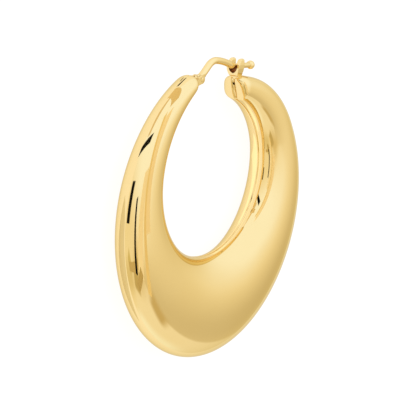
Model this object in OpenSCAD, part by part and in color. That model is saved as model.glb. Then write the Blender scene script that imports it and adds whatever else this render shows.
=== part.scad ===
// Puffed hoop earring, lying on its side with its front face up.
// The hoop lies in the XY plane: +Y points to the clasp, +X to the arm with the catch,
// +Z is the front face. The origin is under the middle of the bounding box, on the surface.
// Angles round the hoop are in degrees from its widest side (-Y), positive towards +X.

/* [Hoop outline] */
// Outer diameter of the hoop
outer_d = 45; // [42:0.5:48]
// Width of the opening, along X
opening_w = 27; // [25:0.1:28]
// Height of the opening, along Y
opening_h = 24.5; // [23:0.1:25.5]
// How far the opening's centre lies from the outer circle's, along X
opening_x = -0.4; // [-1:0.1:1]
// How far the opening's centre lies from the outer circle's, towards the clasp
opening_y = 5.3; // [5:0.1:6]
// Angle from the clasp's direction (+Y) to the tip of the catch end
catch_gap = 16.8; // [16:0.2:18]
// Angle from the clasp's direction to the tip of the hinge end
hinge_gap = 16.2; // [15.6:0.2:17]
// How far the outer side of the catch end turns inward from the outer circle
catch_tuck = 2.2; // [1.8:0.1:2.6]
// How far its inner side bulges into the opening
catch_belly = 0.25; // [0:0.05:0.4]
// How much squarer than an ellipse its section is, as an addition to the ellipse's power of 2
catch_square = 0.7; // [0:0.1:1]
// How far the hinge end's inner side thins towards its cap
hinge_slim = 2.4; // [2:0.1:2.6]
// Length of these changes at the ends, in degrees round the hoop
end_reach = 45; // [35:1:55]

/* [Puffed section] */
// Thickness, front to back, on the thickest side
thick_side_t = 7.6; // [7:0.1:8]
// Thickness at right angles to that side
arm_t = 6.8; // [6:0.1:7.2]
// Thickness opposite the thickest side
thin_side_t = 3.8; // [3.4:0.1:4.2]
// How far the thickest side is turned from -Y towards the catch arm, in degrees
lean = 18; // [0:1:20]
// Thickness of the hollow shell's wall
wall = 0.25; // [0.2:0.05:0.4]
// Depth of the crease where the two halves are joined
seam_depth = 0.12; // [0.05:0.01:0.2]
// Width of that crease
seam_w = 0.7; // [0.4:0.1:1]
// Diameter of the vent hole in the cap of the catch end
vent_d = 0.4; // [0.3:0.05:0.5]
// How far the vent hole lies above the tip of that cap
vent_rise = 0.5; // [0.3:0.1:0.6]

/* [End caps] */
// Length of the blunt cap on the catch end
catch_cap_l = 1.5; // [1.2:0.1:1.8]
// How far that cap leans over the gap at its outer edge
catch_slant = 1.2; // [0.8:0.05:1.3]
// Length of the cap on the hinge end
hinge_cap_l = 1.8; // [1.4:0.1:2.2]
// How far that cap leans over the gap at its outer edge
hinge_slant = 0.4; // [0:0.05:0.6]

/* [Hinge] */
// Hinge axis, along X
hinge_x = -4.1; // [-4.2:0.1:-4]
// Hinge axis, towards the clasp
hinge_y = 20.4; // [20.3:0.1:20.5]
// Diameter of the hinge pin
pin_d = 0.5; // [0.4:0.05:0.55]
// Diameter of the pin's riveted heads
pin_head_d = 0.8; // [0.7:0.05:0.9]
// Height of each riveted head
pin_head_h = 0.08; // [0.05:0.01:0.12]
// Radius of the fork's ears round the pin
ear_r = 0.62; // [0.58:0.01:0.7]
// Thickness of each ear
ear_t = 0.4; // [0.35:0.05:0.5]
// Gap between the two ears
fork_gap = 0.8; // [0.8:0.02:0.9]

/* [Ear wire] */
// Diameter of the ear wire
wire_d = 1.05; // [0.9:0.05:1.1]
// Diameter of its thinner end, which snaps into the catch
neck_d = 0.8; // [0.7:0.02:0.82]
// Diameter of the ball on its tip
ball_d = 1.32; // [1.2:0.02:1.5]
// Thickness of the flat eye on the hinge pin
eye_t = 0.7; // [0.6:0.02:0.7]
// Radius of that eye
eye_r = 0.75; // [0.7:0.01:0.76]
// Direction in which the wire leaves the hinge, in degrees above +X
wire_rise = 36.5; // [36:0.5:37]
// How far the middle of the wire passes below the hinge axis
wire_drop = 0.22; // [0.15:0.01:0.25]

/* [Catch] */
// Place of the catch's middle along X
catch_x = 5.7; // [5.6:0.1:5.8]
// Length of the catch along the wire
catch_l = 1.46; // [1.4:0.02:1.5]
// Width of the catch over its sides
catch_w = 2.3; // [2.2:0.05:2.4]
// Width of its foot on the hoop
catch_foot_w = 1.5; // [1.2:0.1:1.6]
// Length of its foot along the wire
catch_foot_l = 0.83; // [0.7:0.01:0.9]
// Height of the prongs' tips above the middle of the wire
prong_rise = 1.22; // [1.1:0.02:1.3]
// Thickness of the prongs at their rounded tips
prong_t = 0.64; // [0.5:0.02:0.7]
// Depth of the V notch in its near side, below the middle of the wire
notch_depth = 1.04; // [0.95:0.01:1.1]
// Thickness of the catch's metal beside the notch
catch_t = 0.4; // [0.3:0.02:0.45]
// Thickness of the wall behind the notch
catch_back_t = 0.6; // [0.4:0.05:0.7]

/* [Smoothness] */
// Stations along the hoop
stations = 64; // [40:4:80]
// Points round each section
sides = 32; // [24:4:40]
// Stations over each rounded cap
cap_steps = 5; // [4:1:8]
// Points round the ear wire
wire_sides = 24; // [16:4:32]

/* [Hidden] */

gold = [0.93, 0.75, 0.36];
pale_gold = [0.96, 0.82, 0.46];
round_fn = 48;
// Radial clearance of the eye on its pin, and of the neck in the notch.
eye_gap = 0.03;
notch_gap = 0.04;
// Gap between the pin and the fork, round it and under its heads.
pin_seat_gap = 0.01;
// Clearance of the eye's rim inside the fork.
rim_gap = 0.12;

// Shank between the eye and the round wire.
// Columns: distance from the hinge axis, thickness, both in mm.
SHANK = [
    [0.5, 0.66],
    [0.95, 0.7],
    [1.4, 1.05]
];
// Route of the wire from the hinge axis to the ball.
// Columns: straight length, radius of the bend after it, turn of that bend in degrees (left is positive),
// 1 for the full wire or 0 for its thin neck.
WIRE_ROUTE = [
    [3.06, 2.7, -45.5, 1],
    [0, 14, -13, 1],
    [1.32, 2.5, 4, 1],
    [0.1, 2.5, 13, 0],
    [4.18, 0, 0, 0]
];
degrees_a_step = 6;

cap_power = 3;
slant_reach = 9;
catch_end = 180 - catch_gap;
hinge_end = hinge_gap - 180;
hollow_stations = 40;
hollow_sides = 16;
hollow_cap_steps = 4;

// Fork seen from the front, from the hinge axis back to its root inside the cap.
// Columns: distance back from the axis, upper edge, lower edge.
FORK_SIDE = [
    [0.98, 0.4, -0.77],
    [2.4, 0.35, -0.9]
];
// Bridge that joins the ears: its top, and how far back the space above it goes.
bridge_top = 0.25;
bridge_back = 1.5;
fork_w = fork_gap + 2 * ear_t;
slot_r = eye_r + rim_gap;

// Catch across the wire. Columns: height above the middle of the wire, half of the width there.
CATCH_FRONT = [
    [-1.95, catch_foot_w / 2],
    [-1.5, catch_foot_w / 2],
    [-1.2, 0.84],
    [-0.66, 1.02],
    [-0.25, 1.12],
    [0.3, catch_w / 2]
];
// Catch along the wire. Columns: height above the middle of the wire, near side, far side.
CATCH_SIDE = [
    [-1.95, catch_l / 2 - catch_foot_l, catch_l / 2],
    [-1.5, catch_l / 2 - catch_foot_l, catch_l / 2],
    [-1.34, -0.48, catch_l / 2],
    [-1.04, -0.62, catch_l / 2],
    [-0.6, -catch_l / 2, catch_l / 2],
    [-0.2, -catch_l / 2, catch_l / 2],
    [0.5, -0.5, catch_l / 2],
    [prong_rise - 0.17, -0.12, catch_l / 2],
    [prong_rise, 0.05, 0.62]
];
// Notch in the catch's near side. Columns: height above the middle of the wire, half of the width there.
NOTCH = [
    [-notch_depth, 0],
    [-0.9, 0.3],
    [-0.66, 0.56],
    [-0.25, catch_w / 2 - catch_t],
    [0.1, catch_w / 2 - catch_t],
    [0.45, neck_d / 2]
];

// Outline of the hoop in its own plane.
function out_dir(a) = [sin(a), -cos(a)];
function near_end(a, end, reach = end_reach) = max(0, 1 - abs(end - a) / reach);
function outer_radius(a) = outer_d / 2 - catch_tuck * pow(near_end(a, catch_end), 2);
function opening_radius(a) =
    let (u = out_dir(a),
         rx = opening_w / 2,
         ry = opening_h / 2,
         qa = pow(u.x / rx, 2) + pow(u.y / ry, 2),
         qb = -u.x * opening_x / pow(rx, 2) - u.y * opening_y / pow(ry, 2),
         qc = pow(opening_x / rx, 2) + pow(opening_y / ry, 2) - 1)
    (sqrt(qb * qb - qa * qc) - qb) / qa;
function inner_radius(a) =
    opening_radius(a)
    + hinge_slim * pow(near_end(a, hinge_end), 2)
    - catch_belly * pow(near_end(a, catch_end), 2);
function centre_radius(a) = (outer_radius(a) + inner_radius(a)) / 2;
function half_width(a) = (outer_radius(a) - inner_radius(a)) / 2;

// Half of the thickness, front to back.
function half_thick(a) =
    let (mean_t = (thick_side_t + thin_side_t) / 2,
         swing_t = (thick_side_t - thin_side_t) / 2,
         d = a - lean)
    (mean_t + swing_t * cos(d) + (arm_t - mean_t) * pow(sin(d), 2)) / 2;

// Radius of a section of width 1 in the direction f. It gets squarer towards the catch end.
function section_radius(a, f) =
    let (power = 2 + catch_square * near_end(a, catch_end))
    pow(pow(abs(cos(f)), power) + pow(abs(sin(f)), power), -1 / power);

// How far a section's outer edge leans towards the gap, and its inner edge away from it.
function lean_over(a) =
    catch_slant * pow(near_end(a, catch_end, slant_reach), 2)
    - hinge_slant * pow(near_end(a, hinge_end, slant_reach), 2);

// Size of the section near a cap, from 0 at its tip to 1 where the cap ends.
function cap_size(t) = pow(1 - pow(1 - min(1, t), cap_power), 1 / cap_power);
function degrees_of(length, a) = length / centre_radius(a) * 180 / PI;

// Stations from one tip to the other, as [angle, size of section], closer over the caps.
// inset moves the tips in along the hoop, for the hollow.
function station_list(count, steps, inset) =
    let (first = hinge_end + degrees_of(inset, hinge_end),
         last = catch_end - degrees_of(inset, catch_end),
         first_cap = degrees_of(hinge_cap_l, hinge_end),
         last_cap = degrees_of(catch_cap_l, catch_end),
         from = first + first_cap,
         span = last - last_cap - from)
    concat(
        [for (i = [1 : steps - 1])
            let (t = 1 - cos(90 * i / steps)) [first + first_cap * t, cap_size(t)]],
        [for (i = [0 : count]) [from + span * i / count, 1]],
        [for (i = [steps - 1 : -1 : 1])
            let (t = 1 - cos(90 * i / steps)) [last - last_cap * t, cap_size(t)]]
    );

// Angles round a section: 0 is its outer side and 180 the opening's, with two more beside the seam.
function section_angles(count, seam_angle) =
    seam_angle == 0
        ? [for (i = [0 : count - 1]) 360 * i / count]
        : concat([for (i = [0 : count / 2 - 1]) 360 * i / count],
                 [180 - seam_angle, 180, 180 + seam_angle],
                 [for (i = [count / 2 + 1 : count - 1]) 360 * i / count]);

// The crease is full on the opening's side, and on both sides of a cap.
function crease(f, size) = seam_depth * (f == 180 || (f == 0 && size < 1) ? 1 : 0);

function section_point(a, size, f, inset, seam) =
    let (full = size * section_radius(a, f),
         w = (half_width(a) - inset) * full,
         r = centre_radius(a) + (w - (seam ? crease(f, size) * size : 0)) * cos(f),
         z = (half_thick(a) - inset) * full * sin(f),
         u = out_dir(a + degrees_of(lean_over(a) * size * cos(f), a)))
    [r * u.x, r * u.y, z];

function tip_point(a) = [centre_radius(a) * out_dir(a).x, centre_radius(a) * out_dir(a).y, 0];

module swept_ring(count, steps, side_count, inset, seam) {
    list = station_list(count, steps, inset);
    // The crease's edge, as an angle round a section of the thickest side.
    seam_angle = seam ? asin(seam_w / thick_side_t) : 0;
    ring = section_angles(side_count, seam_angle);
    n = len(ring);
    m = len(list);
    first = hinge_end + degrees_of(inset, hinge_end);
    last = catch_end - degrees_of(inset, catch_end);
    points = concat(
        [for (s = list) for (f = ring) section_point(s[0], s[1], f, inset, seam)],
        [tip_point(first), tip_point(last)]
    );
    walls = [for (i = [0 : m - 2]) for (j = [0 : n - 1])
        let (k = (j + 1) % n,
             p = i * n + j,
             q = i * n + k,
             r = p + n,
             s = q + n)
        each [[p, q, s], [p, s, r]]];
    first_cap = [for (j = [0 : n - 1]) [m * n, (j + 1) % n, j]];
    last_cap = [for (j = [0 : n - 1]) [m * n + 1, (m - 1) * n + j, (m - 1) * n + (j + 1) % n]];
    polyhedron(points = points, faces = concat(walls, first_cap, last_cap), convexity = 6);
}

// The wire's path as [x, y, direction]: a place after a straight length, and round a bend to the left.
function ahead(p, length) = [p[0] + length * cos(p[2]), p[1] + length * sin(p[2]), p[2]];
function bent(p, r, turn) =
    let (e = p[2] + turn)
    [p[0] + sign(turn) * r * (sin(e) - sin(p[2])), p[1] - sign(turn) * r * (cos(e) - cos(p[2])), e];

// Stations of the wire along its route, as [place, width, thickness].
function bend_steps(turn) = max(1, ceil(abs(turn) / degrees_a_step));
function row_width(row) = row[3] == 1 ? wire_d : neck_d;
function row_stations(p, row) =
    let (d = row_width(row),
         start = ahead(p, row[0]),
         n = bend_steps(row[2]))
    concat([[start, d, d]],
           row[2] == 0 ? [] : [for (i = [1 : n]) [bent(start, row[1], row[2] * i / n), d, d]]);
function route_stations(p, rows, i = 0) =
    i == len(rows) ? [] :
        let (part = row_stations(p, rows[i]))
        concat(part, route_stations(part[len(part) - 1][0], rows, i + 1));

wire_start = [hinge_x + wire_drop * sin(wire_rise), hinge_y - wire_drop * cos(wire_rise), wire_rise];
wire_line = route_stations(wire_start, WIRE_ROUTE);
ball_place = wire_line[len(wire_line) - 1][0];
catch_y = ball_place[1] - (ball_place[0] - catch_x) * tan(ball_place[2]);

// Where the part stands: on its thickest side, with the middle of its bounding box over the origin.
rest_z = max([for (a = [hinge_end : 1 : catch_end]) half_thick(a)]);
wire_top_y = max([for (s = wire_line) s[0][1] + s[1] / 2 * cos(s[0][2])]);
middle_y = (wire_top_y - outer_d / 2) / 2;

module placed() {
    translate([0, -middle_y, rest_z]) children();
}

// The two puffed halves, solid, and the hollow inside them.
module puffed_form() {
    swept_ring(stations, cap_steps, sides, 0, true);
}

module hollow() {
    swept_ring(hollow_stations, hollow_cap_steps, hollow_sides, wall, false);
}

// Vent hole on the seam, between the catch's foot and the middle of the cap.
module vent_hole() {
    tip = tip_point(catch_end);
    translate([tip.x, tip.y, 0]) rotate([0, 0, catch_end]) translate([0, -vent_rise, 0])
        rotate([0, 90, 0]) cylinder(d = vent_d, h = 2 * catch_cap_l, center = true, $fn = round_fn);
}

module fork_side() {
    circle(r = ear_r, $fn = round_fn);
    polygon(concat(
        [[0, -ear_r], [0, ear_r]],
        [for (row = FORK_SIDE) [-row[0], row[1]]],
        [for (i = [len(FORK_SIDE) - 1 : -1 : 0]) [-FORK_SIDE[i][0], FORK_SIDE[i][2]]]
    ));
}

module fork_body() {
    translate([hinge_x, hinge_y, 0]) linear_extrude(fork_w, center = true) fork_side();
}

// Space between the ears for the wire's eye and its swing, and the pin's holes through them.
module fork_space() {
    translate([hinge_x, hinge_y, 0]) {
        cylinder(r = slot_r, h = fork_gap, center = true, $fn = round_fn);
        translate([-bridge_back, bridge_top, -fork_gap / 2]) cube([bridge_back, ear_r, fork_gap]);
        cylinder(r = pin_d / 2 + pin_seat_gap, h = 2 * fork_w, center = true, $fn = round_fn);
    }
}

// The catch across the wire: its sides widen from the foot and close to two round-tipped prongs.
module catch_front() {
    gap_r = neck_d / 2 + notch_gap;
    prong_x = gap_r + prong_t / 2;
    prong_y = prong_rise - prong_t / 2;
    for (side = [-1, 1])
        translate([side * prong_x, prong_y]) circle(d = prong_t, $fn = round_fn);
    difference() {
        polygon(concat(
            [for (row = CATCH_FRONT) [row[1], row[0]]],
            [[gap_r + prong_t, prong_y], [-gap_r - prong_t, prong_y]],
            [for (i = [len(CATCH_FRONT) - 1 : -1 : 0]) [-CATCH_FRONT[i][1], CATCH_FRONT[i][0]]]
        ));
        circle(r = gap_r, $fn = round_fn);
        translate([-gap_r, 0]) square([2 * gap_r, prong_rise]);
    }
}

// The notch across the wire: a V under the wire, which closes to the neck between the prongs.
module notch_front() {
    polygon(concat(
        [for (row = NOTCH) [row[1], row[0]]],
        [for (i = [len(NOTCH) - 1 : -1 : 1]) [-NOTCH[i][1], NOTCH[i][0]]]
    ));
}

// The catch along the wire: a small foot, a lip under the notch, and prongs towards the far side.
module catch_side() {
    polygon(concat(
        [for (row = CATCH_SIDE) [row[2], row[0]]],
        [for (i = [len(CATCH_SIDE) - 1 : -1 : 0]) [CATCH_SIDE[i][1], CATCH_SIDE[i][0]]]
    ));
}

module catch_body() {
    translate([catch_x, catch_y, 0]) rotate([0, 0, ball_place[2]])
        difference() {
            intersection() {
                rotate([0, 90, 0]) linear_extrude(catch_l, center = true) catch_front();
                linear_extrude(catch_w, center = true) catch_side();
            }
            translate([-catch_l, 0, 0]) rotate([0, 90, 0])
                linear_extrude(1.5 * catch_l - catch_back_t) notch_front();
        }
}

// The puffed hoop with its fork and catch soldered on.
module hoop() {
    color(gold) placed()
        difference() {
            union() {
                puffed_form();
                fork_body();
                catch_body();
            }
            hollow();
            vent_hole();
            fork_space();
        }
}

// Riveted pin through the fork's ears.
module hinge_pin() {
    seat = fork_w / 2 + pin_seat_gap;
    color(pale_gold) placed() translate([hinge_x, hinge_y, 0])
        rotate_extrude($fn = round_fn)
            polygon([
                [0, -seat - pin_head_h], [pin_head_d / 4, -seat - pin_head_h], [pin_head_d / 2, -seat],
                [pin_d / 2, -seat], [pin_d / 2, seat],
                [pin_head_d / 2, seat], [pin_head_d / 4, seat + pin_head_h], [0, seat + pin_head_h]
            ]);
}

// The eye's shank and the round wire with its neck, as one swept form.
module wire_form() {
    shank = [for (row = SHANK) [ahead(wire_start, row[0]), wire_d, row[1]]];
    list = concat(shank, wire_line);
    n = wire_sides;
    m = len(list);
    points = [for (s = list) for (j = [0 : n - 1])
        let (f = 360 * j / n,
             out = s[1] / 2 * cos(f))
        [s[0][0] - out * sin(s[0][2]), s[0][1] + out * cos(s[0][2]), s[2] / 2 * sin(f)]];
    walls = [for (i = [0 : m - 2]) for (j = [0 : n - 1])
        let (k = (j + 1) % n,
             p = i * n + j,
             q = i * n + k,
             r = p + n,
             s = q + n)
        each [[p, s, q], [p, r, s]]];
    ends = [[for (j = [0 : n - 1]) j], [for (j = [n - 1 : -1 : 0]) (m - 1) * n + j]];
    polyhedron(points = points, faces = concat(walls, ends), convexity = 6);
}

// Ear wire: a flat eye on the hinge pin, the bent wire, its thin neck and the ball on its tip.
module ear_wire() {
    color(gold) placed()
        difference() {
            union() {
                translate([hinge_x, hinge_y, 0])
                    cylinder(r = eye_r, h = eye_t, center = true, $fn = round_fn);
                wire_form();
                translate([ball_place[0], ball_place[1], 0]) sphere(d = ball_d, $fn = round_fn);
            }
            translate([hinge_x, hinge_y, 0])
                cylinder(r = pin_d / 2 + eye_gap, h = 2 * eye_t, center = true, $fn = round_fn);
        }
}

hoop();
hinge_pin();
ear_wire();
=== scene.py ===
"""Looks of the puffed hoop earring: polished gold pieces, a pale floor, soft studio light and the camera.

Sizes below are millimetres in the hoop's own plane, as in the part's source: +Y points to the clasp,
+X to the arm with the catch, +Z is the front face. new_object() turns them into metres in the frame.
Angles round the hoop are in degrees from its widest side (-Y), positive towards +X.
"""
import math

import bpy
import numpy as np
from mathutils import Matrix, Vector


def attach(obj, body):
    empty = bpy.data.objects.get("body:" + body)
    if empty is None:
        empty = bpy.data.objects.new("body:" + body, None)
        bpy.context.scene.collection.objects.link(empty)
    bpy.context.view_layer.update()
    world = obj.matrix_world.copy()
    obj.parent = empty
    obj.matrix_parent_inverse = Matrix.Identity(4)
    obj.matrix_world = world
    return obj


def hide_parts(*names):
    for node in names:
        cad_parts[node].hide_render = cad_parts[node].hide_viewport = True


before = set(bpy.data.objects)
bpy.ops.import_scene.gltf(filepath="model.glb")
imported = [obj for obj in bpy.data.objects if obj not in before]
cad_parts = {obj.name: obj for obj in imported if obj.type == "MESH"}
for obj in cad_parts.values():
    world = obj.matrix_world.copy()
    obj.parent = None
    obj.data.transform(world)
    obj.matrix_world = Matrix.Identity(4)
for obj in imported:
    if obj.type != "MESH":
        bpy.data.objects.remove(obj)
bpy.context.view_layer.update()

# Place of the outer circle's centre in the frame, in mm.
CENTRE = np.array([0.0, -0.29756, 3.81023])
MM = 0.001

# Hoop outline.
OUTER_D = 45.0
OPENING_W = 27.0
OPENING_H = 24.5
OPENING_X = -0.4
OPENING_Y = 5.3
CATCH_TUCK = 2.2
CATCH_BELLY = 0.25
CATCH_SQUARE = 0.7
HINGE_SLIM = 2.4
END_REACH = 45.0
CATCH_GAP = 16.8
HINGE_GAP = 16.2
CATCH_END = 180.0 - CATCH_GAP
HINGE_END = HINGE_GAP - 180.0

# Puffed section.
THICK_SIDE_T = 7.6
ARM_T = 6.8
THIN_SIDE_T = 3.8
LEAN = 18.0
WALL = 0.25
SEAM_DEPTH = 0.1
SEAM_HALF_W = 0.3
# On the outer side the crease runs over the caps alone. It is full up to the first distance from a tip and
# gone at the second, in degrees.
OUTER_CREASE_FULL = 3.0
OUTER_CREASE_GONE = 8.0
# Near the catch end the crease opens into a broad valley between the two halves.
VALLEY_DEPTH = 0.24
VALLEY_HALF_W = 0.55
VALLEY_REACH = 14.0
VENT_D = 0.4
VENT_RISE = 0.5

# End caps.
CATCH_CAP_L = 1.5
HINGE_CAP_L = 1.8
CATCH_SLANT = 1.2
HINGE_SLANT = 0.4
SLANT_REACH = 9.0
CAP_POWER = 3.0

# Hinge.
HINGE = np.array([-4.1, 20.4])
PIN_D = 0.5
PIN_HEAD_D = 0.8
PIN_HEAD_H = 0.08
PIN_SEAT_GAP = 0.01
EAR_R = 0.62
EAR_T = 0.4
FORK_GAP = 0.8
FORK_W = FORK_GAP + 2 * EAR_T
BRIDGE_TOP = 0.25
BRIDGE_BACK = 1.5
# Fork seen from the front. Columns: distance back from the hinge axis, upper edge, lower edge.
FORK_SIDE = [
    (0.98, 0.4, -0.77),
    (2.4, 0.35, -0.9),
]

# Ear wire.
WIRE_D = 1.05
NECK_D = 0.8
BALL_D = 1.32
EYE_T = 0.7
EYE_R = 0.75
EYE_GAP = 0.03
RIM_GAP = 0.12
SLOT_R = EYE_R + RIM_GAP
WIRE_RISE = 36.5
WIRE_DROP = 0.22
# Arc of the eye's edge that is built round the hinge axis, in degrees from its back.
EYE_ARC = (8, 140)
# Width over which the eye's back edge is rounded off.
EYE_EDGE = 0.25
# Power of the eye's section. A round one has 2.
EYE_SQUARE = 5
# Along the wire from the hinge axis: where the eye starts to turn into the round wire, where that ends, and
# where the wire has its full drop below the axis.
SHANK_FROM = 0.45
SHANK_END = 1.5
DROP_END = 1.2
# Columns: straight length, radius of the bend after it, turn of that bend in degrees, diameter.
WIRE_ROUTE = [
    (3.06, 2.7, -45.5, WIRE_D),
    (0.0, 14.0, -13.0, WIRE_D),
    (1.32, 2.5, 4.0, WIRE_D),
    (0.1, 2.5, 13.0, NECK_D),
    (4.18, 0.0, 0.0, NECK_D),
]

# Catch.
CATCH_X = 5.7
CATCH_L = 1.46
CATCH_W = 2.3
CATCH_FOOT_W = 1.5
CATCH_FOOT_L = 0.83
PRONG_RISE = 1.22
PRONG_T = 0.64
NOTCH_DEPTH = 1.04
NOTCH_GAP = 0.04
CATCH_T = 0.4
CATCH_BACK_T = 0.6
# Across the wire. Columns: height above the middle of the wire, half of the width there.
CATCH_FRONT = [
    (-1.95, CATCH_FOOT_W / 2),
    (-1.5, CATCH_FOOT_W / 2),
    (-1.2, 0.84),
    (-0.66, 1.02),
    (-0.25, 1.12),
    (0.3, CATCH_W / 2),
]
# Along the wire. Columns: height above the middle of the wire, near side, far side.
CATCH_SIDE = [
    (-1.95, CATCH_L / 2 - CATCH_FOOT_L, CATCH_L / 2),
    (-1.5, CATCH_L / 2 - CATCH_FOOT_L, CATCH_L / 2),
    (-1.34, -0.48, CATCH_L / 2),
    (-1.04, -0.62, CATCH_L / 2),
    (-0.6, -CATCH_L / 2, CATCH_L / 2),
    (-0.2, -CATCH_L / 2, CATCH_L / 2),
    (0.5, -0.5, CATCH_L / 2),
    (PRONG_RISE - 0.17, -0.12, CATCH_L / 2),
    (PRONG_RISE, 0.05, 0.62),
]
# Notch in the near side. Columns: height above the middle of the wire, half of the width there.
NOTCH = [
    (-NOTCH_DEPTH, 0.0),
    (-0.9, 0.3),
    (-0.66, 0.56),
    (-0.25, CATCH_W / 2 - CATCH_T),
    (0.1, CATCH_W / 2 - CATCH_T),
    (0.45, NECK_D / 2),
]

# Fineness of the meshes.
# Columns of a grid: stations along the hoop, steps over each cap, sides of a section.
SHELL_GRID = (320, 26, 160)
HOLLOW_GRID = (120, 12, 72)
CAP_SAMPLES = 400
# How far the sides of a section crowd towards the seam, in degrees.
CROWDING = 20
EAR_SIDES = 64
ROUND_SIDES = 48
VENT_SIDES = 32
BALL_RINGS = 24
EYE_STATIONS = 34
SHANK_STATIONS = 14
# Degrees of a bend of the wire between two stations.
BEND_STEP = 1.5
# Rounding of the cast pieces.
FORK_VOXEL = 0.045
CATCH_VOXEL = 0.04
SMOOTH_FACTOR = 0.5
SMOOTH_PASSES = 2
# Edges sharper than this stay sharp, in degrees.
SHARP_ANGLE = 38

# Dull metal, painted dark as shade, in the notch: how far past its sides, floor and back wall its faces are
# taken, how deep its mouth and the back wall's own faces are, and its top above the middle of the wire.
NOTCH_PAST_SIDE = 0.03
NOTCH_PAST_FLOOR = 0.04
NOTCH_PAST_BACK = 0.05
MOUTH_DEPTH = 0.08
BACK_DEPTH = 0.1
NOTCH_TOP = 0.4
# A face that looks out of the mouth points this much along the wire.
MOUTH_FACING = -0.9
# Dull metal, painted dark as shade, in the fork: how far past its slot's sides and its round rim the faces
# are taken.
SLOT_PAST_SIDE = 0.02
SLOT_PAST_RIM = 0.1
# Soldered corner behind the fork, painted darker as shade, from the hinge axis: its two ends, its foot, and
# how far past the fork's sides.
SHADED_SOLDER_X = (-2.45, -1.1)
SHADED_SOLDER_Y = 0.2
SHADED_SOLDER_PAST = 0.1

# Gold's colour where it is seen almost edge on, as a share of a plain metal's.
EDGE_TINT = (0.74, 0.68, 0.52)
# The gold as polished, dull and painted dark as shade where no wheel reaches, and as it leaves the press or
# the solder.
# Columns: name, colour, the shade that it shifts to, lowest and highest roughness.
GOLDS = [
    ("polished_gold", (0.93, 0.715, 0.35), (0.92, 0.7, 0.33), 0.035, 0.06),
    ("dull_shaded_crevice", (0.55, 0.26, 0.1), (0.45, 0.2, 0.07), 0.5, 0.65),
    ("raw_gold_and_shade", (0.78, 0.52, 0.2), (0.7, 0.46, 0.17), 0.45, 0.6),
]
# Noises of the gold: smudges in its gloss, shifts of its colour, and the waves that polishing leaves.
# Columns: scale, detail.
SMUDGES = (260, 5)
SHIFTS = (90, 3)
WAVES = (1500, 4)
WAVE_STRENGTH = 0.05
WAVE_HEIGHT = 0.00001
# Part of a noise's range that is used.
NOISE_LOW = 0.35
NOISE_HIGH = 0.65

# Half of the floor's width, in metres.
FLOOR_HALF = 3.0
FLOOR_COLOUR = (0.2, 0.2, 0.2)
FLOOR_ROUGHNESS = 0.9
# The floor is lit from below, as a light table is.
FLOOR_GLOW = 0.88
# The studio round the earring: soft panels on a pale surround, painted on the world by direction.
SURROUND = (0.96, 0.91, 0.74)
# Columns: name; direction and height of the middle, turn, half-width, half-height, softness of the edges and
# of the right edge, all in degrees; red, green and blue of its light.
PANELS = [
    ("side_panel", 85, 25, 0, 62, 72, 55, 55, 1.07, 1.17, 1.34),
    ("warm_high", -112, 54, 0, 18, 12, 18, 18, 0.78, 0.67, 0.42),
    ("warm_low", -138, 0, -8, 12, 32, 18, 18, 0.8, 0.72, 0.47),
    ("tan_shade", -41, 35, 42, 16, 38, 30, 28, 0.73, 0.67, 0.51),
    ("low_panel", -73, 13, 42, 28, 42, 24, 3, 0.97, 0.95, 0.86),
    ("low_light", -84, -2, 0, 24, 18, 20, 20, 1.04, 1.12, 1.18),
    ("rust", -68, 46, 30, 6, 9, 8, 8, 0.64, 0.53, 0.3),
    ("olive_left", -146, 26, 30, 8, 6, 5, 5, 0.72, 0.63, 0.32),
    ("olive_low", -122, 42, 40, 8, 8, 5, 5, 0.6, 0.5, 0.26),
]
# Flags and cards near the earring. They show in its polish alone.
# Columns: name; point that it is set out from; direction and height from there and turn, in degrees;
# distance, half-width and half-height.
FLAGS = [
    ("flag_camera", (-21.6, 5.1, 0.9), 169, 20, 0, 12, 6.2, 2.4),
    ("flag_slim", (-18.2, 12.8, 0.8), 127, 14, 24, 40, 3.5, 22),
    ("flag_high", (-21.4, -0.2, 1.8), -154, 61, 70, 40, 2.8, 21),
    ("flag_by_hinge", (-9.8, 19.8, 0.5), 62, -22, 0, 8, 1.6, 0.6),
]
FLAG_COLOUR = (0.01, 0.01, 0.01)
# A lit card on the table inside the hoop, for the pale streak on the right arm's inner side.
LAMP = ("lamp_in_opening", (10.4, 3.0, 0.0), 0, -90, 37, 3.7, 4, 1.5)
LAMP_COLOUR = (0.2, 0.2, 0.2)
LAMP_GLOW = 1.15
# Gold and brown cards: over the left arm, left of it, over the opening, by the hinge, beyond the slim flag,
# on the table, and two for the ripples low on the left arm. The last columns are red, green and blue.
CARDS = [
    ("card_over_arm", (-13.3, 10.0, 3.0), 0, 90, 0, 30, 41, 2.4, 0.88, 0.74, 0.44),
    ("card_left_of_arm", (-22.5, -4.0, 3.0), 0, 90, -8, 30, 21, 5, 0.97, 0.9, 0.74),
    ("card_over_opening", (-7.0, 17.5, 3.0), 0, 90, 0, 30, 23.5, 4.6, 0.97, 0.87, 0.68),
    ("card_by_hinge", (-11.6, 18.6, 2.4), 81, 4, 0, 12, 2.2, 8.0, 0.88, 0.75, 0.5),
    ("card_beyond_slim", (-14.9, 16.7, 0.6), 104, 3, 24, 43, 18, 5, 0.83, 0.7, 0.5),
    ("card_on_table", (-44.0, -14.0, 0.0), 0, -90, -12, 3.7, 17, 22, 0.87, 0.82, 0.69),
    ("ripple_upper", (-21.4, -4.5, 1.5), -136, 41, 68, 46, 18, 3.6, 0.6, 0.48, 0.25),
    ("ripple_lower", (-20.5, -6.5, 2.0), -109, 52, 75, 30, 7, 2.6, 0.56, 0.45, 0.23),
]

# Camera: its lens, its axes in the frame, and its place from the hoop's centre along each of them.
SENSOR_W = 36
FOCAL_LENGTH = 231.29
CAMERA_RIGHT = Vector((0.56186, 0.03254, 0.82659))
CAMERA_UP = Vector((0.17699, 0.97136, -0.15854))
CAMERA_BACK = Vector((-0.80808, 0.23537, 0.54001))
CAMERA_ASIDE = -0.2225
CAMERA_RAISED = 0.1796
CAMERA_AWAY = 400
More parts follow.
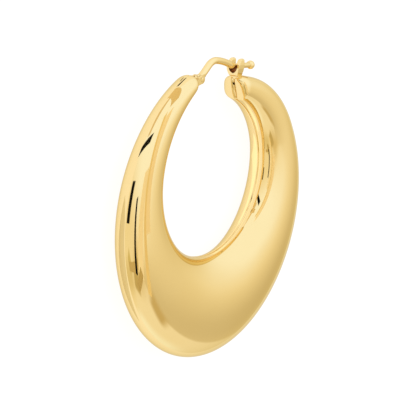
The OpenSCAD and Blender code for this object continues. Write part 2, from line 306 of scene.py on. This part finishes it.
# Nearest distance that the camera sees, in metres.
CLIP_START = 0.01


def sind(a):
    return np.sin(np.radians(a))


def cosd(a):
    return np.cos(np.radians(a))


# The hoop's formulas, as in the part's source.
def near_end(a, end, reach=END_REACH):
    """1 at one end of the hoop, falling to 0 at a distance of reach degrees."""
    return np.maximum(0, 1 - np.abs(end - a) / reach)


def outer_radius(a):
    return OUTER_D / 2 - CATCH_TUCK * near_end(a, CATCH_END) ** 2


def opening_radius(a):
    ux, uy = sind(a), -cosd(a)
    rx, ry = OPENING_W / 2, OPENING_H / 2
    qa = (ux / rx) ** 2 + (uy / ry) ** 2
    qb = -ux * OPENING_X / rx ** 2 - uy * OPENING_Y / ry ** 2
    qc = (OPENING_X / rx) ** 2 + (OPENING_Y / ry) ** 2 - 1
    return (np.sqrt(qb * qb - qa * qc) - qb) / qa


def inner_radius(a):
    return (opening_radius(a) + HINGE_SLIM * near_end(a, HINGE_END) ** 2
            - CATCH_BELLY * near_end(a, CATCH_END) ** 2)


def centre_radius(a):
    return (outer_radius(a) + inner_radius(a)) / 2


def half_width(a):
    return (outer_radius(a) - inner_radius(a)) / 2


def half_thick(a):
    mean_t = (THICK_SIDE_T + THIN_SIDE_T) / 2
    swing_t = (THICK_SIDE_T - THIN_SIDE_T) / 2
    d = a - LEAN
    return (mean_t + swing_t * cosd(d) + (ARM_T - mean_t) * sind(d) ** 2) / 2


def section_radius(a, f):
    """Radius of a section of width 1 in the direction f. It gets squarer towards the catch end."""
    power = 2 + CATCH_SQUARE * near_end(a, CATCH_END)
    return (np.abs(cosd(f)) ** power + np.abs(sind(f)) ** power) ** (-1 / power)


def lean_over(a):
    """How far a section's outer edge leans towards the gap, and its inner edge away from it."""
    return (CATCH_SLANT * near_end(a, CATCH_END, SLANT_REACH) ** 2
            - HINGE_SLANT * near_end(a, HINGE_END, SLANT_REACH) ** 2)


def degrees_of(length, a):
    return np.degrees(length / centre_radius(a))


def station_list(count, cap_steps, inset):
    """Angles of the sections and their sizes, from tip to tip, evenly spaced over the rounded caps."""
    first = HINGE_END + degrees_of(inset, HINGE_END)
    last = CATCH_END - degrees_of(inset, CATCH_END)
    first_cap = degrees_of(HINGE_CAP_L, HINGE_END)
    last_cap = degrees_of(CATCH_CAP_L, CATCH_END)
    # One cap's profile as (distance from the tip, size), both from 0 to 1.
    turn = np.radians(np.linspace(0, 90, CAP_SAMPLES))
    size = np.sin(turn) ** (2 / CAP_POWER)
    far = 1 - np.cos(turn) ** (2 / CAP_POWER)
    lists = []
    for cap_l, end in ((HINGE_CAP_L, HINGE_END), (CATCH_CAP_L, CATCH_END)):
        steps = np.hypot(np.diff(far) * cap_l, np.diff(size) * half_width(end))
        run = np.concatenate([[0], np.cumsum(steps)])
        even = np.linspace(0, run[-1], cap_steps + 1)[1:-1]
        lists.append((np.interp(even, run, far), np.interp(even, run, size)))
    (far_a, size_a), (far_b, size_b) = lists
    middle = np.linspace(first + first_cap, last - last_cap, count + 1)
    angles = np.concatenate([first + first_cap * far_a, middle, (last - last_cap * far_b)[::-1]])
    sizes = np.concatenate([size_a, np.ones(count + 1), size_b[::-1]])
    return angles, sizes, first, last


def new_object(name, points, faces, material):
    """An object from points in mm of the hoop's plane."""
    mesh = bpy.data.meshes.new(name)
    mesh.from_pydata([tuple(p) for p in (np.asarray(points) + CENTRE) * MM], [], faces)
    mesh.materials.append(material)
    mesh.shade_smooth()
    mesh.update()
    obj = bpy.data.objects.new(name, mesh)
    bpy.context.scene.collection.objects.link(obj)
    return obj


def grid_faces(rows, columns):
    """Faces of a closed tube of rows x columns points, with a tip point after them at each end."""
    faces = []
    for i in range(rows - 1):
        for j in range(columns):
            k = (j + 1) % columns
            here, beyond = i * columns, (i + 1) * columns
            faces.append((here + j, beyond + j, beyond + k, here + k))
    tip = rows * columns
    for j in range(columns):
        k = (j + 1) % columns
        faces.append((tip, j, k))
        faces.append((tip + 1, (rows - 1) * columns + k, (rows - 1) * columns + j))
    return faces


def hoop_form(name, grid, inset, material):
    """The hoop's swept form, and how full the crease is at each of its points."""
    stations, cap_steps, sides = grid
    angles, sizes, first, last = station_list(stations, cap_steps, inset)
    q = np.arange(sides) / sides * 360
    # Directions round a section: 0 is its outer side and 180 the opening's.
    f = (q - CROWDING * sind(2 * q))[None, :]
    a, s = angles[:, None], sizes[:, None]
    full = s * section_radius(a, f)
    r = centre_radius(a) + (half_width(a) - inset) * full * cosd(f)
    z = (half_thick(a) - inset) * full * sind(f)
    turn = a + degrees_of(lean_over(a) * s * cosd(f), a)
    points = np.stack([r * sind(turn), -r * cosd(turn), z], axis=-1).reshape(-1, 3)
    tips = [(centre_radius(t) * sind(t), -centre_radius(t) * cosd(t), 0.0) for t in (first, last)]
    obj = new_object(name, np.concatenate([points, tips]), grid_faces(len(angles), sides), material)
    from_tip = np.minimum(np.abs(a - HINGE_END), np.abs(a - CATCH_END))
    on_cap = np.clip((OUTER_CREASE_GONE - from_tip) / (OUTER_CREASE_GONE - OUTER_CREASE_FULL), 0, 1)
    crease = np.where(cosd(f) < 0, 1.0, on_cap).reshape(-1)
    return obj, np.concatenate([crease, [1.0, 1.0]])


def press_seam(obj, crease, fine_depth):
    """Moves the points beside the seam in along their normals, as a fine groove and the valley."""
    mesh = obj.data
    n = len(mesh.vertices)
    co = np.empty(n * 3)
    mesh.vertices.foreach_get("co", co)
    no = np.empty(n * 3)
    mesh.vertex_normals.foreach_get("vector", no)
    co, no = co.reshape(-1, 3), no.reshape(-1, 3)
    x, y = (co[:, 0] / MM - CENTRE[0], co[:, 1] / MM - CENTRE[1])
    turn = np.degrees(np.arctan2(x, -y))
    end = np.clip(1 - (CATCH_END - turn) / VALLEY_REACH, 0, 1) ** 2
    off = np.abs(co[:, 2] / MM - CENTRE[2])
    fine = fine_depth * np.maximum(0, 1 - off / SEAM_HALF_W) ** 2
    valley = VALLEY_DEPTH * end * np.maximum(0, 1 - (off / VALLEY_HALF_W) ** 1.5) ** 2
    groove = (fine + valley) * crease
    co -= no * (groove * MM)[:, None]
    mesh.vertices.foreach_set("co", co.reshape(-1))
    mesh.update()


def prism(name, outline, low, high, place, material):
    """A straight prism of a counter-clockwise outline; place maps (u, v, w) to the hoop's plane."""
    n = len(outline)
    points = [place(u, v, w) for w in (low, high) for u, v in outline]
    faces = [tuple(range(n - 1, -1, -1)), tuple(range(n, 2 * n))]
    faces += [(i, (i + 1) % n, n + (i + 1) % n, n + i) for i in range(n)]
    return new_object(name, points, faces, material)


def circle(r, count):
    return [(r * math.cos(2 * math.pi * i / count), r * math.sin(2 * math.pi * i / count))
            for i in range(count)]


def revolved(name, profile, x, y, material):
    """A form turned round an upright axis at (x, y). Its profile, (radius, height), runs top down."""
    rows = profile[1:-1]
    points = [(x + u, y + v, z) for r, z in rows for u, v in circle(r, ROUND_SIDES)]
    points += [(x, y, profile[0][1]), (x, y, profile[-1][1])]
    return new_object(name, points, grid_faces(len(rows), ROUND_SIDES), material)


def settled(obj):
    """Applies an object's modifiers."""
    graph = bpy.context.evaluated_depsgraph_get()
    mesh = bpy.data.meshes.new_from_object(obj.evaluated_get(graph))
    old = obj.data
    obj.modifiers.clear()
    obj.data = mesh
    bpy.data.meshes.remove(old)
    return obj


def cut(obj, operation, tool):
    """Joins or cuts obj with a closed tool, and removes the tool."""
    step = obj.modifiers.new("cut", "BOOLEAN")
    step.operation = operation
    step.solver = "MANIFOLD"
    step.object = tool
    settled(obj)
    bpy.data.objects.remove(tool)


def rounded(obj, voxel):
    """Rounds the edges of a small cast piece."""
    step = obj.modifiers.new("even", "REMESH")
    step.mode = "VOXEL"
    step.voxel_size = voxel * MM
    step = obj.modifiers.new("soft", "SMOOTH")
    step.factor = SMOOTH_FACTOR
    step.iterations = SMOOTH_PASSES
    return settled(obj)


def finished(obj, body, node):
    """Shades a piece smooth with its sharp edges kept, and puts it on its body."""
    obj.data.shade_smooth()
    obj.data.set_sharp_from_angle(angle=math.radians(SHARP_ANGLE))
    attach(obj, body)
    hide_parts(node)


def shaded(name, colour, roughness):
    """A material, its nodes and its shader."""
    material = bpy.data.materials.new(name)
    material.use_nodes = True
    shader = material.node_tree.nodes["Principled BSDF"]
    shader.inputs["Base Color"].default_value = (*colour, 1)
    shader.inputs["Roughness"].default_value = roughness
    return material, material.node_tree, shader


def noise(tree, scale, detail, coords):
    node = tree.nodes.new("ShaderNodeTexNoise")
    node.inputs["Scale"].default_value = scale
    node.inputs["Detail"].default_value = detail
    tree.links.new(coords, node.inputs["Vector"])
    return node.outputs["Fac"]


def spread(tree, value, low, high):
    """Maps the middle of a noise to low..high."""
    node = tree.nodes.new("ShaderNodeMapRange")
    node.inputs["From Min"].default_value = NOISE_LOW
    node.inputs["From Max"].default_value = NOISE_HIGH
    node.inputs["To Min"].default_value = low
    node.inputs["To Max"].default_value = high
    tree.links.new(value, node.inputs["Value"])
    return node.outputs["Result"]


def gold_material(name, base, shade, gloss_low, gloss_high):
    """Gold with soft smudges in its gloss, a faint shift of colour and very fine polishing waves."""
    material, tree, shader = shaded(name, base, gloss_low)
    shader.inputs["Metallic"].default_value = 1.0
    shader.inputs["Specular Tint"].default_value = (*EDGE_TINT, 1)
    coords = tree.nodes.new("ShaderNodeTexCoord").outputs["Object"]
    gloss = spread(tree, noise(tree, *SMUDGES, coords), gloss_low, gloss_high)
    tree.links.new(gloss, shader.inputs["Roughness"])
    mix = tree.nodes.new("ShaderNodeMix")
    mix.data_type = "RGBA"
    mix.inputs["A"].default_value = (*base, 1)
    mix.inputs["B"].default_value = (*shade, 1)
    tree.links.new(spread(tree, noise(tree, *SHIFTS, coords), 0, 1), mix.inputs["Factor"])
    tree.links.new(mix.outputs["Result"], shader.inputs["Base Color"])
    bump = tree.nodes.new("ShaderNodeBump")
    bump.inputs["Strength"].default_value = WAVE_STRENGTH
    bump.inputs["Distance"].default_value = WAVE_HEIGHT
    tree.links.new(noise(tree, *WAVES, coords), bump.inputs["Height"])
    tree.links.new(bump.outputs["Normal"], shader.inputs["Normal"])
    return material


gold, dull_shaded_crevice, raw_gold_and_shade = (gold_material(*row) for row in GOLDS)

# The puffed shell and the hollow inside it.
shell, creases = hoop_form("hoop_shell", SHELL_GRID, 0.0, gold)
press_seam(shell, creases, SEAM_DEPTH)
hollow, hollow_creases = hoop_form("hollow", HOLLOW_GRID, WALL, raw_gold_and_shade)
press_seam(hollow, hollow_creases, 0.0)


def wire_line():
    """The wire's stations as (x, y, direction, diameter), from where it leaves the hinge to the ball."""
    x = HINGE[0] + WIRE_DROP * sind(WIRE_RISE)
    y = HINGE[1] - WIRE_DROP * cosd(WIRE_RISE)
    way = WIRE_RISE
    line = []
    for length, radius, turn, d in WIRE_ROUTE:
        x, y = x + length * cosd(way), y + length * sind(way)
        line.append((x, y, way, d))
        if turn:
            side = np.sign(turn)
            for t in np.linspace(0, turn, max(2, int(abs(turn) / BEND_STEP) + 1))[1:]:
                e = way + t
                line.append((x + side * radius * (sind(e) - sind(way)),
                             y - side * radius * (cosd(e) - cosd(way)), e, d))
            x, y, way, _ = line[-1]
    return line


line = wire_line()
ball_x, ball_y, ball_way, _ = line[-1]
catch_y = ball_y - (ball_x - CATCH_X) * math.tan(math.radians(ball_way))


# Places for prism(). Each maps an outline's point (u, v) and its height w into the hoop's plane.
def by_hinge(u, v, w):
    """An outline seen from the front, round the hinge axis."""
    return (HINGE[0] + u, HINGE[1] + v, w)


def by_catch(u, v, w):
    """An outline across the wire at the catch: u to its side, v up, w along the wire."""
    c, s = cosd(ball_way), sind(ball_way)
    return (CATCH_X + w * c - v * s, catch_y + w * s + v * c, -u)


def by_catch_side(u, v, w):
    """The catch seen from the front: u along the wire, v up."""
    c, s = cosd(ball_way), sind(ball_way)
    return (CATCH_X + u * c - v * s, catch_y + u * s + v * c, w)


def by_vent(u, v, w):
    """The catch end's cap seen along the hoop: u outwards from the hoop's centre, w along the hoop."""
    out = np.array([sind(CATCH_END), -cosd(CATCH_END)])
    along = np.array([cosd(CATCH_END), sind(CATCH_END)])
    x, y = out * (centre_radius(CATCH_END) + VENT_RISE + u) + along * w
    return (x, y, -v)


def fork_form():
    """The hinge's fork: two ears and the bridge that joins them, rounded, with the pin's bore."""
    back = [(-far, top) for far, top, _ in FORK_SIDE] + [(-far, low) for far, _, low in FORK_SIDE[::-1]]
    fork = prism("hinge_fork", [(0, -EAR_R), (0, EAR_R)] + back, -FORK_W / 2, FORK_W / 2, by_hinge, gold)
    over = [(-BRIDGE_BACK, BRIDGE_TOP), (0, BRIDGE_TOP), (0, 1), (-BRIDGE_BACK, 1)]
    bore = circle(PIN_D / 2 + PIN_SEAT_GAP, ROUND_SIDES)
    ears = circle(EAR_R, EAR_SIDES)
    slot = circle(SLOT_R, EAR_SIDES)
    cut(fork, "UNION", prism("ears", ears, -FORK_W / 2, FORK_W / 2, by_hinge, gold))
    cut(fork, "DIFFERENCE", prism("slot", slot, -FORK_GAP / 2, FORK_GAP / 2, by_hinge, gold))
    cut(fork, "DIFFERENCE", prism("over", over, -FORK_GAP / 2, FORK_GAP / 2, by_hinge, gold))
    rounded(fork, FORK_VOXEL)
    cut(fork, "DIFFERENCE", prism("bore", bore, -FORK_W, FORK_W, by_hinge, gold))
    return fork


def catch_outline():
    """The catch across the wire: its sides widen from the foot and close to two round-tipped prongs."""
    gap_r = NECK_D / 2 + NOTCH_GAP
    tip_r = PRONG_T / 2
    tip_x, tip_y = gap_r + tip_r, PRONG_RISE - tip_r
    half = [(w, v) for v, w in CATCH_FRONT] + [(gap_r + PRONG_T, tip_y)]
    half += [(tip_x + tip_r * cosd(t), tip_y + tip_r * sind(t)) for t in range(10, 171, 10)]
    half += [(gap_r, tip_y)] + [(gap_r * cosd(t), -gap_r * sind(t)) for t in range(0, 91, 15)]
    return half + [(-u, v) for u, v in half[-2::-1]]


def catch_form():
    """The V catch, rounded: a small foot, a lip under the notch, and prongs towards the far side."""
    catch = prism("v_catch", catch_outline(), -CATCH_L / 2, CATCH_L / 2, by_catch, gold)
    side = [(far, v) for v, _, far in CATCH_SIDE] + [(near, v) for v, near, _ in CATCH_SIDE[::-1]]
    cut(catch, "INTERSECT", prism("side", side, -CATCH_W, CATCH_W, by_catch_side, gold))
    notch = [(w, v) for v, w in NOTCH] + [(-w, v) for v, w in NOTCH[:0:-1]]
    cut(catch, "DIFFERENCE", prism("notch", notch, -CATCH_L, CATCH_L / 2 - CATCH_BACK_T, by_catch, gold))
    return rounded(catch, CATCH_VOXEL)


# Fork and catch are soldered on, so they are one piece with the shell.
cut(shell, "UNION", fork_form())
cut(shell, "UNION", catch_form())
cut(shell, "DIFFERENCE", hollow)
vent = circle(VENT_D / 2, VENT_SIDES)
cut(shell, "DIFFERENCE", prism("vent", vent, -CATCH_CAP_L, CATCH_CAP_L, by_vent, raw_gold_and_shade))


def repaint(obj, material, chosen):
    """Gives a material to the faces that chosen(places, normals) picks, in mm of the hoop's plane."""
    mesh = obj.data
    mesh.materials.append(material)
    n = len(mesh.polygons)
    places = np.empty(n * 3)
    mesh.polygons.foreach_get("center", places)
    normals = np.empty(n * 3)
    mesh.polygons.foreach_get("normal", normals)
    slots = np.zeros(n, dtype=np.int32)
    mesh.polygons.foreach_get("material_index", slots)
    slots[chosen(places.reshape(-1, 3) / MM - CENTRE, normals.reshape(-1, 3))] = len(mesh.materials) - 1
    mesh.polygons.foreach_set("material_index", slots)
    mesh.update()


def in_notch(places, normals):
    """Faces inside the catch's notch, but not those of its mouth."""
    c, s = cosd(ball_way), sind(ball_way)
    x, y = places[:, 0] - CATCH_X, places[:, 1] - catch_y
    along, rise = x * c + y * s, y * c - x * s
    half = np.interp(rise, [row[0] for row in NOTCH], [row[1] for row in NOTCH])
    back = CATCH_L / 2 - CATCH_BACK_T
    mouth = normals[:, 0] * c + normals[:, 1] * s < MOUTH_FACING
    return ((np.abs(places[:, 2]) < half + NOTCH_PAST_SIDE)
            & (rise > -NOTCH_DEPTH - NOTCH_PAST_FLOOR) & (rise < NOTCH_TOP)
            & (along > -CATCH_L / 2 + MOUTH_DEPTH) & (along < back + NOTCH_PAST_BACK)
            & (~mouth | (along > back - BACK_DEPTH)))


def in_fork(places, normals):
    """Faces inside the fork's slot."""
    x, y = places[:, 0] - HINGE[0], places[:, 1] - HINGE[1]
    return (np.abs(places[:, 2]) < FORK_GAP / 2 + SLOT_PAST_SIDE) & (np.hypot(x, y) < SLOT_R + SLOT_PAST_RIM)


def behind_fork(places, normals):
    """The corner between the fork and the cap's outer side, where it is soldered, painted darker as shade."""
    x, y = places[:, 0] - HINGE[0], places[:, 1] - HINGE[1]
    return ((np.abs(places[:, 2]) < FORK_W / 2 + SHADED_SOLDER_PAST)
            & (x > SHADED_SOLDER_X[0]) & (x < SHADED_SOLDER_X[1]) & (y > SHADED_SOLDER_Y))


# Metal that no wheel reaches stays dull; the notch, the fork's slot and the soldered corner behind the fork
# are also painted dark as shade in these recesses.
repaint(shell, dull_shaded_crevice, in_notch)
repaint(shell, dull_shaded_crevice, in_fork)
repaint(shell, raw_gold_and_shade, behind_fork)
finished(shell, "hoop", "hoop")

# The pin, with a domed head at each end.
seat = FORK_W / 2 + PIN_SEAT_GAP
half = [(0.0, seat + PIN_HEAD_H)]
half += [(PIN_HEAD_D / 2 * sind(t), seat + PIN_HEAD_H * cosd(t)) for t in range(10, 91, 10)]
half += [(PIN_D / 2, seat)]
pin = revolved("hinge_pin_rivet", half + [(r, -z) for r, z in half[::-1]], *HINGE, gold)
finished(pin, "hoop", "hinge_pin")


def smooth(t):
    """0 below 0 and 1 above 1, with a smooth rise between them."""
    t = min(1, max(0, t))
    return t * t * (3 - 2 * t)


def eye_stations():
    """Stations of the flat eye and the shank, as (distance along the wire, half-width)."""
    eye = [(-EYE_R * cosd(t), EYE_R * sind(t)) for t in np.linspace(*EYE_ARC, EYE_STATIONS)]
    reach, narrow = eye[-1]
    shank = [(reach + (SHANK_END - reach) * t, narrow + (WIRE_D / 2 - narrow) * (1 - (1 - t) ** 2))
             for t in np.linspace(0, 1, SHANK_STATIONS)[1:]]
    return eye + shank


def eye_ring(d, w):
    """Points round the eye or the shank at a distance d, where its half-width is w."""
    blend = smooth((d - SHANK_FROM) / (SHANK_END - SHANK_FROM))
    rounding = min(1.0, w / EYE_EDGE) ** 0.5 if d < 0 else 1
    thick = (EYE_T / 2 * (1 - blend) + WIRE_D / 2 * blend) * rounding
    power = 2 / (EYE_SQUARE - (EYE_SQUARE - 2) * blend)
    middle = HINGE + wire_way * d - wire_side * WIRE_DROP * smooth(d / DROP_END)
    c, s = np.cos(round_turn), np.sin(round_turn)
    out = np.sign(c) * np.abs(c) ** power * w
    up = np.sign(s) * np.abs(s) ** power * thick
    return [(*(middle + wire_side * u), v) for u, v in zip(out, up)]


def wire_ring(x, y, way, d):
    """Points round the wire at (x, y), where it runs in the direction way."""
    out, up = d / 2 * np.cos(round_turn), d / 2 * np.sin(round_turn)
    return [(x - u * sind(way), y + u * cosd(way), v) for u, v in zip(out, up)]


# The ear wire: the flat eye, the shank, the round wire with its neck, and the ball on its tip.
round_turn = 2 * np.pi * np.arange(ROUND_SIDES) / ROUND_SIDES
wire_way = np.array([cosd(WIRE_RISE), sind(WIRE_RISE)])
wire_side = np.array([-sind(WIRE_RISE), cosd(WIRE_RISE)])
rings = [eye_ring(*row) for row in eye_stations()] + [wire_ring(*row) for row in line]
points = [point for ring in rings for point in ring]
points += [(*(HINGE - wire_way * EYE_R), 0.0), (ball_x, ball_y, 0.0)]
faces = [face[::-1] for face in grid_faces(len(rings), ROUND_SIDES)]
wire = new_object("ear_wire_bar", points, faces, gold)
half_turn = np.linspace(0, 180, BALL_RINGS + 1)
ball_profile = [(BALL_D / 2 * sind(t), BALL_D / 2 * cosd(t)) for t in half_turn]
cut(wire, "UNION", revolved("ball", ball_profile, ball_x, ball_y, gold))
eye_bore = circle(PIN_D / 2 + EYE_GAP, ROUND_SIDES)
cut(wire, "DIFFERENCE", prism("bore", eye_bore, -1, 1, by_hinge, gold))
finished(wire, "ear_wire", "ear_wire")


def axes_towards(lon, lat, turned):
    """Axes of a panel: ahead, to its right and up, turned round the first."""
    ahead = Vector((cosd(lat) * cosd(lon), cosd(lat) * sind(lon), sind(lat)))
    right = Vector((-sind(lon), cosd(lon), 0))
    up = ahead.cross(right)
    t = math.radians(turned)
    return ahead, right * math.cos(t) + up * math.sin(t), up * math.cos(t) - right * math.sin(t)


def matt(name, colour, glow=0.0, roughness=1.0):
    """A dull material, which may give off white light."""
    material, _, shader = shaded(name, colour, roughness)
    shader.inputs["Specular IOR Level"].default_value = 0.0
    shader.inputs["Emission Color"].default_value = (1, 1, 1, 1)
    shader.inputs["Emission Strength"].default_value = glow
    return material


def near_card(material, name, foot, lon, lat, turned, distance, half_w, half_h):
    """A card that shows in the earring's polish alone."""
    ahead, right, up = axes_towards(lon, lat, turned)
    middle = Vector(foot) + ahead * distance
    corners = [middle + right * u + up * v for u, v in
               ((-half_w, -half_h), (half_w, -half_h), (half_w, half_h), (-half_w, half_h))]
    card = new_object(name, [tuple(c) for c in corners], [(0, 1, 2, 3)], material)
    card.visible_camera = False
    card.visible_diffuse = False
    card.visible_shadow = False


floor_mesh = bpy.data.meshes.new("floor")
corners = [(u * FLOOR_HALF, v * FLOOR_HALF, 0) for u, v in ((-1, -1), (1, -1), (1, 1), (-1, 1))]
floor_mesh.from_pydata(corners, [], [(0, 1, 2, 3)])
floor_mesh.materials.append(matt("floor_paper", FLOOR_COLOUR, FLOOR_GLOW, FLOOR_ROUGHNESS))
floor = bpy.data.objects.new("floor", floor_mesh)
bpy.context.scene.collection.objects.link(floor)

black = matt("flag_black", FLAG_COLOUR)
for row in FLAGS:
    near_card(black, *row)
for name, *where, r, g, b in CARDS:
    near_card(matt(name, (r, g, b)), name, *where)
near_card(matt("lamp", LAMP_COLOUR, LAMP_GLOW), *LAMP)

world = bpy.data.worlds.new("studio")
bpy.context.scene.world = world
world.use_nodes = True
tree = world.node_tree
backdrop = tree.nodes["Background"]
look = tree.nodes.new("ShaderNodeTexCoord").outputs["Generated"]


def dot(axis):
    """How far the direction that is looked in goes along an axis."""
    node = tree.nodes.new("ShaderNodeVectorMath")
    node.operation = "DOT_PRODUCT"
    node.inputs[1].default_value = axis
    tree.links.new(look, node.inputs[0])
    return node.outputs["Value"]


def math_node(operation, a, b):
    """A math node's result for two values, each a number or another node's result."""
    node = tree.nodes.new("ShaderNodeMath")
    node.operation = operation
    for socket, value in zip(node.inputs, (a, b)):
        if isinstance(value, (int, float)):
            socket.default_value = value
        else:
            tree.links.new(value, socket)
    return node.outputs["Value"]


def edge(value, limit, softness):
    """1 below a limit, 0 above it, both in degrees, with a soft edge."""
    node = tree.nodes.new("ShaderNodeMapRange")
    node.interpolation_type = "SMOOTHSTEP"
    node.inputs["From Min"].default_value = math.radians(limit + softness / 2)
    node.inputs["From Max"].default_value = math.radians(limit - softness / 2)
    tree.links.new(value, node.inputs["Value"])
    return node.outputs["Result"]


light = None
for _, lon, lat, turned, half_w, half_h, soft, soft_right, *colour in PANELS:
    ahead, right, up = axes_towards(lon, lat, turned)
    deep = dot(ahead)
    # Angles seen from the earring, so that a panel keeps its size wherever it stands.
    side_angle = math_node("ARCTAN2", dot(right), deep)
    rise_angle = math_node("ABSOLUTE", math_node("ARCTAN2", dot(up), deep), 0.0)
    mask = math_node("MULTIPLY", edge(side_angle, half_w, soft_right),
                     edge(math_node("MULTIPLY", side_angle, -1.0), half_w, soft))
    mask = math_node("MULTIPLY", mask, edge(rise_angle, half_h, soft))
    mix = tree.nodes.new("ShaderNodeMix")
    mix.data_type = "RGBA"
    tree.links.new(mask, mix.inputs["Factor"])
    if light is None:
        mix.inputs["A"].default_value = (*SURROUND, 1)
    else:
        tree.links.new(light, mix.inputs["A"])
    mix.inputs["B"].default_value = (*colour, 1)
    light = mix.outputs["Result"]
tree.links.new(light, backdrop.inputs["Color"])

camera_data = bpy.data.cameras.new("camera")
camera_data.sensor_width = SENSOR_W
camera_data.lens = FOCAL_LENGTH
camera_data.clip_start = CLIP_START
camera = bpy.data.objects.new("camera", camera_data)
place = Vector(CENTRE) + CAMERA_RIGHT * CAMERA_ASIDE + CAMERA_UP * CAMERA_RAISED + CAMERA_BACK * CAMERA_AWAY
axes = Matrix((CAMERA_RIGHT, CAMERA_UP, CAMERA_BACK)).transposed().to_4x4()
camera.matrix_world = Matrix.Translation(place * MM) @ axes
bpy.context.scene.collection.objects.link(camera)
bpy.context.scene.camera = camera
bpy.context.scene.view_settings.view_transform = "Standard"
